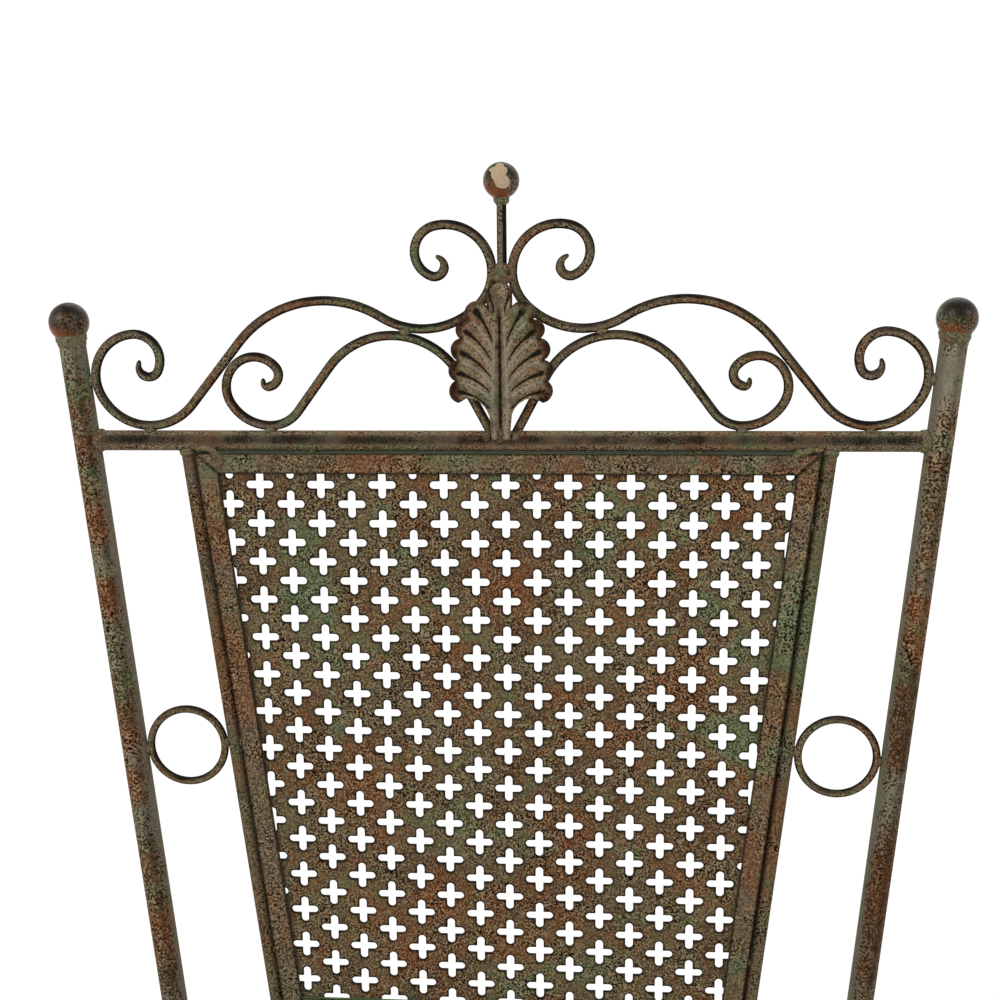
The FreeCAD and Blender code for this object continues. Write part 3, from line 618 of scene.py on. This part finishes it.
def castLeaf():
    along, across = leaf["along"], leaf["across"]
    spots, faces = {}, []

    def spot(x, h, relief, ridge=0.0, hollow=0.0, rim=0.0):
        key = (round(x, 3), round(h, 3))
        if key not in spots:
            spots[key] = (relief, ridge, hollow, rim)
        return key

    def quad(*keys):
        ring = []
        for key in keys:
            if key not in ring:
                ring.append(key)
        if len(ring) > 2:
            faces.append(ring)

    def rib(notch, footing):
        out, down = leaf["ribBend"]
        bend = (footing[0] + out * (notch[0] - footing[0]), notch[1] - down * (notch[1] - footing[1]))
        return evenly(bezierPoints(footing, bend, notch, leaf["ribSteps"]), along)

    def edgeFall(t):
        e = max(0.0, (t - leaf["edgeFrom"]) / (1 - leaf["edgeFrom"]))
        return leaf["edgeDrop"] * (1 - sqrt(max(0.0, 1 - e * e)))

    # Inner line of each lobe, from the tip of the leaf down beside the groove
    notches, feet = leaf["notches"], leaf["ribFeet"]
    short, full = leaf["shortSteps"], leaf["edgeSteps"]
    last = len(leaf["crowns"]) - 1
    tipLine = evenly(bezierPoints(leaf["tip"], leaf["tipBend"], feet[0], full), across)
    tipRim = arcPoints(leaf["tip"], leaf["brow"], leaf["shoulder"], short) + [notches[0]]
    curl, bight, hip, ankle = leaf["underside"]
    lowEdge = arcPoints(notches[-1], curl, bight, short) + arcPoints(bight, hip, ankle, full)[1:]
    columns = leaf["stemColumns"]
    lowRun = evenly([leaf["throat"], ankle], columns)
    lowRun += evenly(list(reversed(lowEdge)), along - columns)[1:]
    lobes = [([leaf["tip"]] * (along + 1), rib(notches[0], feet[0]), tipLine, evenly(tipRim, across))]
    for i, crown in enumerate(leaf["crowns"]):
        upper = rib(notches[i], feet[i])
        lower = rib(notches[i + 1], feet[i + 1]) if i < last else lowRun
        inner = evenly([feet[i], feet[i + 1] if i < last else leaf["throat"]], across)
        outer = evenly(arcPoints(notches[i], crown, notches[i + 1], full), across)
        lobes.append((upper, lower, inner, outer))
    for side in (1, -1):
        for index, (upper, lower, inner, outer) in enumerate(lobes):
            grid = []
            for i in range(along + 1):
                a = i / along
                row = []
                for j in range(across + 1):
                    b = j / across
                    x, h = ((1 - b) * upper[i][k] + b * lower[i][k] + (1 - a) * inner[j][k] + a * outer[j][k]
                            - (1 - a) * (1 - b) * inner[0][k] - (1 - a) * b * inner[-1][k]
                            - a * (1 - b) * outer[0][k] - a * b * outer[-1][k] for k in (0, 1))
                    upRib = 0.0 if index == 0 else exp(-(b / leaf["ribShare"]) ** 2)
                    lowRib = exp(-((1 - b) / leaf["ribShare"]) ** 2)
                    rise = max(upRib, lowRib) * (1 - smoothStep(*leaf["ribEnd"], a))
                    rise = max(rise, exp(-(a / leaf["bandShare"]) ** 2))
                    rise *= 1 - leaf["bandLoss"] * smoothStep(*leaf["bandFade"], h)
                    flare = leaf["channelFlare"] * smoothStep(*leaf["flareSpan"], a)
                    spread = leaf["channelShare"] * (1 + flare)
                    window = smoothStep(*leaf["channelStart"], a) * (1 - smoothStep(*leaf["channelEnd"], a))
                    off = b - leaf["channelAt"]
                    channel = exp(-(off / spread) ** 2) * window
                    # Painted shade down the middle of each channel, kept in the hollow attribute
                    dark = exp(-(off / (leaf["channelDark"] * spread)) ** 2) * window
                    pads = sin(pi * b) ** leaf["padRound"]
                    relief = leaf["ridge"] * rise + leaf["pad"] * pads - leaf["hollow"] * channel
                    rim = smoothStep(*leaf["rimSpan"], a)
                    fall = edgeFall(a)
                    if index == last + 1:
                        fall = max(fall, edgeFall(b) * smoothStep(*leaf["undersideSpan"], a))
                    if index == 0:
                        relief *= leaf["tipRelief"]
                        fall = max(fall, edgeFall(1 - b))
                    row.append(spot(side * x, h, relief - fall, rise, dark, rim))
                grid.append(row)
            for i in range(along):
                for j in range(across):
                    quad(grid[i][j], grid[i + 1][j], grid[i + 1][j + 1], grid[i][j + 1])
        # Stem below the lobes
        grid = []
        for r in range(leaf["stemRows"] + 1):
            s = r / leaf["stemRows"]
            row = []
            for c in range(columns + 1):
                t = c / columns
                x0, h0 = lowRun[c]
                x1 = leaf["footRib"][0] + (leaf["foot"][0] - leaf["footRib"][0]) * t
                relief = leaf["ridge"] * (1 - t) - leaf["edgeDrop"] * t ** 3
                down = h0 + (leaf["foot"][1] - h0) * s
                row.append(spot(side * (x0 + (x1 - x0) * s), down, relief, 1 - t))
            grid.append(row)
        for r in range(leaf["stemRows"]):
            for c in range(columns):
                quad(grid[r][c], grid[r][c + 1], grid[r + 1][c + 1], grid[r + 1][c])
    # Groove between the two inner lines
    line = list(tipLine)
    for start, end in zip(feet, feet[1:] + [leaf["throat"]]):
        line += evenly([start, end], across)[1:]
    line += evenly([leaf["throat"], leaf["footRib"]], leaf["stemRows"])[1:]
    rows = []
    halfColumns = leaf["grooveColumns"]
    for x, h in line:
        row = []
        for c in range(-halfColumns, halfColumns + 1):
            t = c / halfColumns
            deep = (1 - abs(t)) ** leaf["grooveRound"]
            deep *= 1 - leaf["grooveLoss"] * smoothStep(*leaf["grooveFade"], h)
            level = leaf["ridge"] - (leaf["ridge"] + leaf["groove"]) * deep
            level *= min(1.0, x / leaf["grooveHalf"])
            # The groove's painted shade grows with its depth, kept in the hollow attribute
            row.append(spot(x * t, h, level, abs(t) ** 2, deep ** leaf["grooveDark"]))
        rows.append(row)
    for upperRow, lowerRow in zip(rows, rows[1:]):
        for c in range(2 * halfColumns):
            quad(upperRow[c], upperRow[c + 1], lowerRow[c + 1], lowerRow[c])

    keys = list(spots)
    number = {key: i for i, key in enumerate(keys)}
    points = []
    for front in (True, False):
        for x, h in keys:
            relief = spots[(x, h)][0]
            proud = leaf["edgeFront"] + leaf["arch"] * (1 - (x / leaf["halfWidth"]) ** 2)
            cast = noise.noise(Vector((x, h, leaf["castSeed"])) * leaf["castScale"]) * leaf["castMm"]
            depth = proud + relief + cast if front else proud - leaf["thickness"]
            points.append(onBack(x + leaf["aside"], back["crestU"] + h, -depth))
    count = len(keys)
    polygons, used = [], {}
    for ring in faces:
        ids = [number[key] for key in ring]
        area = sum(p[0] * q[1] - q[0] * p[1] for p, q in zip(ring, ring[1:] + ring[:1]))
        if abs(area) < leaf["leastArea"]:
            continue
        if area < 0:
            ids.reverse()
        polygons.append(ids)
        polygons.append([i + count for i in reversed(ids)])
        for p, q in zip(ids, ids[1:] + ids[:1]):
            used[(p, q)] = used.get((p, q), 0) + 1
    for p, q in used:
        if (q, p) not in used:
            polygons.append([q, p, p + count, q + count])
    mesh = bpy.data.meshes.new("acanthusLeaf")
    mesh.from_pydata(points, [], polygons)
    # ridge holds the pale ribs, wiped paint and painted highlight; hollow holds the painted shade; rim holds
    # the rims
    for k, layer in enumerate(("ridge", "hollow", "rim")):
        values = [spots[key][k + 1] for key in keys] + [0.0] * count
        mesh.attributes.new(layer, "FLOAT", "POINT").data.foreach_set("value", values)
    mesh.validate()
    return mesh


leafPiece = newPiece("acanthusLeaf", castLeaf(), leafPaint)
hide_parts("acanthus_leaf")
print("leaf cast:", len(leafPiece.data.vertices), "points")

# Top ball with the paint chipped off its face. The chip's outline is in shares of the radius, right and up
# as seen from the front. Wobble and dents are a noise scale and a size.
topBall = {
    "u": 545.0,
    "radius": 8.9,
    "chipDepth": 0.22,
    "lip": 0.05,
    "lipWidth": 0.035,
    "segments": 128,
    "insideRings": 6,
    "outsideRings": 44,
    "right": (0.996, 0.081, 0.0),
    "facing": (0.083, -0.984, 0.158),
    "wobble": (7, 0.035),
    "wobbleSeed": 0.3,
    "dents": (2.5, 0.05),
    "chip": [(-0.68, 0.62), (-0.30, 0.78), (-0.19, 0.94), (-0.02, 0.985), (0.13, 0.92), (0.18, 0.78),
             (0.34, 0.68), (0.34, 0.46), (0.24, 0.30), (0.40, 0.14), (0.48, -0.08), (0.42, -0.29),
             (0.18, -0.45), (-0.03, -0.42), (-0.25, -0.34), (-0.35, -0.18), (-0.41, 0.03), (-0.55, 0.25),
             (-0.55, 0.46)],
}


def chippedBall():
    facing = Vector(topBall["facing"]).normalized()
    right = Vector(topBall["right"])
    right = (right - facing * right.dot(facing)).normalized()
    above = facing.cross(right)
    rim = [right * p + above * q + facing * sqrt(max(0.0, 1 - p * p - q * q)) for p, q in topBall["chip"]]
    pole = sum(rim, Vector()).normalized()
    east = right.cross(pole).normalized()
    north = pole.cross(east)
    bearings = sorted((atan2(d.dot(north), d.dot(east)), acos(max(-1.0, min(1.0, d.dot(pole))))) for d in rim)
    (firstTurn, firstReach), (lastTurn, lastReach) = bearings[0], bearings[-1]
    bearings = [(lastTurn - 2 * pi, lastReach)] + bearings + [(firstTurn + 2 * pi, firstReach)]

    def reach(bearing):
        for (a, p), (b, q) in zip(bearings, bearings[1:]):
            if a <= bearing <= b:
                scale, size = topBall["wobble"]
                around = Vector((cos(bearing), sin(bearing), topBall["wobbleSeed"]))
                wobble = noise.noise(around * scale) * size
                return p + (q - p) * (bearing - a) / max(b - a, 1e-9) + wobble
        return bearings[0][1]

    centre = onBack(0, topBall["u"])
    radius, segments = topBall["radius"], topBall["segments"]
    points, polygons, bare = [centre + pole * (radius - topBall["chipDepth"]) / 1000], [], []
    rings = []
    inside, outside = topBall["insideRings"], topBall["outsideRings"]
    for r in range(inside + outside):
        ring = []
        for s in range(segments):
            bearing = -pi + 2 * pi * (s + 0.5) / segments
            edge = reach(bearing)
            if r < inside:
                polar, size = edge * (r + 1) / inside, radius - topBall["chipDepth"]
            else:
                share = (r - inside) / outside
                polar = edge + topBall["lipWidth"] + (pi - edge - topBall["lipWidth"]) * share
                size = radius + (topBall["lip"] if r == inside else 0.0)
            flat = east * cos(bearing) + north * sin(bearing)
            direction = pole * cos(polar) + flat * sin(polar)
            dentScale, dentSize = topBall["dents"]
            size += noise.noise(direction * dentScale) * dentSize
            ring.append(len(points))
            points.append(centre + direction * size / 1000)
        rings.append(ring)
    for s in range(segments):
        polygons.append((0, rings[0][s], rings[0][(s + 1) % segments]))
        bare.append(1)
    for r in range(len(rings) - 1):
        for s in range(segments):
            t = (s + 1) % segments
            polygons.append((rings[r][s], rings[r + 1][s], rings[r + 1][t], rings[r][t]))
            bare.append(1 if r < inside - 1 else 0)
    points.append(centre - pole * radius / 1000)
    for s in range(segments):
        polygons.append((rings[-1][s], len(points) - 1, rings[-1][(s + 1) % segments]))
        bare.append(0)
    mesh = bpy.data.meshes.new("topBall")
    mesh.from_pydata(points, [], polygons)
    return mesh, bare


ballMesh, bareFaces = chippedBall()
ballPiece = newPiece("topBall", ballMesh, ballPaint)
ballMesh.materials.append(barePrimer)
ballMesh.polygons.foreach_set("material_index", bareFaces)
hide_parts("top_ball")
print("top ball chipped")

# Rounded ends on the drawn-out tips of the scroll rods. Left side: x, height above the crest rail's axis and
# heading, mm.
tips = {
    "radius": 1.32,
    "length": 2.2,
    "sunk": 0.4,
    "rings": 7,
    "segments": 24,
    "left": [(-184.92, 38.91, 0.247, 0.969), (-30.92, 90.85, -0.862, 0.508), (-121.25, 29.58, -0.037, 0.999)],
}


def roundedTips():
    points, polygons = [], []
    rings, segments = tips["rings"], tips["segments"]
    for side in (1, -1):
        for x, rise, headX, headU in tips["left"]:
            base = len(points)
            for r in range(rings):
                t = r / rings
                along = -tips["sunk"] + (tips["length"] + tips["sunk"]) * t
                size = tips["radius"] * sqrt(1 - t * t)
                for k in range(segments):
                    angle = 2 * pi * k / segments
                    aside, proud = size * cos(angle), size * sin(angle)
                    points.append(onBack(side * (x + headX * along - headU * aside),
                                         back["crestU"] + rise + headU * along + headX * aside, proud))
            points.append(onBack(side * (x + headX * tips["length"]),
                                 back["crestU"] + rise + headU * tips["length"], 0))
            for r in range(rings - 1):
                for k in range(segments):
                    n = (k + 1) % segments
                    ring = base + r * segments
                    quad = [ring + k, ring + n, ring + segments + n, ring + segments + k]
                    polygons.append(quad[::side])
            last = base + (rings - 1) * segments
            for k in range(segments):
                polygons.append([last + k, last + (k + 1) % segments, last + segments][::side])
            polygons.append([base + k for k in range(segments)][::-side])
    mesh = bpy.data.meshes.new("scrollTips")
    mesh.from_pydata(points, [], polygons)
    return mesh


newPiece("scrollTips", roundedTips(), rodPaint)
print("scroll tips rounded")

# Welds: the CAD beads roughened, with the drops and strings that the photograph shows.
# Places are x, height above the crest rail's axis and v on the back, then the radius, mm. A string swells
# and thins along its way.
welds = {
    "voxel": 0.40,
    "swell": 0.12,
    "lump": 0.40,
    "lumpMm": 1.8,
    "drops": {
        "crest_rail_weld_left": [(-207.6, 0.6, -5.6, 2.0)],
        "top_ball_weld": [(0.0, 120.4, 0.0, 4.0), (0.0, 119.4, 0.0, 3.4), (0.0, 118.4, 0.0, 2.9),
                          (0.0, 117.4, 0.0, 2.6)],
        "finial_ball_weld_left": [(-219.2, 53.1, 0.0, 7.8), (-219.1, 51.5, 0.0, 7.4),
                                  (-218.9, 50.0, 0.0, 7.0)],
        "finial_ball_weld_right": [(219.2, 53.1, 0.0, 7.8), (219.1, 51.5, 0.0, 7.4), (218.9, 50.0, 0.0, 7.0)],
        "scroll_welds": [(-8.2, 2.5, -4.3, 2.0), (5.8, 2.5, -4.3, 2.0), (-1.5, 2.0, -5.6, 2.2),
                         (-3.6, 83.3, -2.2, 1.7), (3.2, 80.6, -2.4, 1.8), (4.6, 86.0, -1.6, 1.5),
                         (-0.6, 82.4, -1.6, 2.3), (1.7, 81.6, -2.6, 1.6), (-2.4, 80.4, -2.8, 1.7),
                         (1.6, 79.6, -2.4, 1.9), (-0.5, 79.8, -2.8, 1.7)],
    },
    "strings": {
        "panel_welds": [
            ([(-155, -3.6, -4.2), (-151, -3.0, -5.0), (-147.5, -4.6, -5.2), (-144.6, -6.8, -5.2),
              (-143.2, -10.4, -5.1), (-145.4, -12.6, -5.0)], 1.4),
            ([(156, -3.4, -4.2), (151.5, -3.0, -5.0), (148.6, -5.0, -5.2), (145.4, -4.6, -5.2),
              (143.4, -8.2, -5.1), (145.2, -11.6, -5.0)], 1.4),
        ],
    },
    "dropFineness": 3,
    "stringFineness": 2,
    "stringSteps": 9,
    "stringLeast": 0.85,
    "stringSwell": 0.3,
    "stringWaves": (2.3, 1.7),
    "softness": 0.5,
    "softenings": 3,
}


def weldPiece(nodeName, pieceName):
    shell = bmesh.new()
    shell.from_mesh(cadNodes[nodeName].data)
    for x, rise, v, radius in welds["drops"].get(nodeName, []):
        spot = Matrix.Translation(onBack(x, back["crestU"] + rise, v))
        bmesh.ops.create_icosphere(shell, subdivisions=welds["dropFineness"], radius=radius / 1000,
                                   matrix=spot)
    for points, radius in welds["strings"].get(nodeName, []):
        line = [Vector((x, back["crestU"] + rise, v)) for x, rise, v in points]
        steps = welds["stringSteps"]
        wavesX, wavesUp = welds["stringWaves"]
        for a, b in zip(line, line[1:]):
            for k in range(steps):
                spot = a + (b - a) * k / steps
                wave = abs(sin(spot.x * wavesX + spot.y * wavesUp))
                size = radius * (welds["stringLeast"] + welds["stringSwell"] * wave)
                bmesh.ops.create_icosphere(shell, subdivisions=welds["stringFineness"], radius=size / 1000,
                                           matrix=Matrix.Translation(onBack(*spot)))
    raw = bpy.data.meshes.new("raw")
    shell.to_mesh(raw)
    shell.free()
    holder = bpy.data.objects.new("holder", raw)
    scene.collection.objects.link(holder)
    remesh = holder.modifiers.new("fuse", "REMESH")
    remesh.mode = "VOXEL"
    remesh.voxel_size = welds["voxel"] / 1000
    soften = holder.modifiers.new("soften", "SMOOTH")
    soften.factor = welds["softness"]
    soften.iterations = welds["softenings"]
    graph = bpy.context.evaluated_depsgraph_get()
    mesh = bpy.data.meshes.new_from_object(holder.evaluated_get(graph))
    bpy.data.objects.remove(holder)
    bpy.data.meshes.remove(raw)
    mesh.materials.clear()
    normals = [v.normal.copy() for v in mesh.vertices]
    for vertex, normal in zip(mesh.vertices, normals):
        lump = noise.noise(vertex.co * 1000 / welds["lumpMm"]) * welds["lump"]
        vertex.co += normal * (welds["swell"] + lump) / 1000
    piece = newPiece(pieceName, mesh, weldPaint)
    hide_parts(nodeName)
    return piece


for nodeName in [name for name in cadNodes if "weld" in name]:
    words = nodeName.split("_")
    piece = weldPiece(nodeName, words[0] + "".join(word.capitalize() for word in words[1:]))
    print("weld:", piece.name, len(piece.data.vertices), "points")
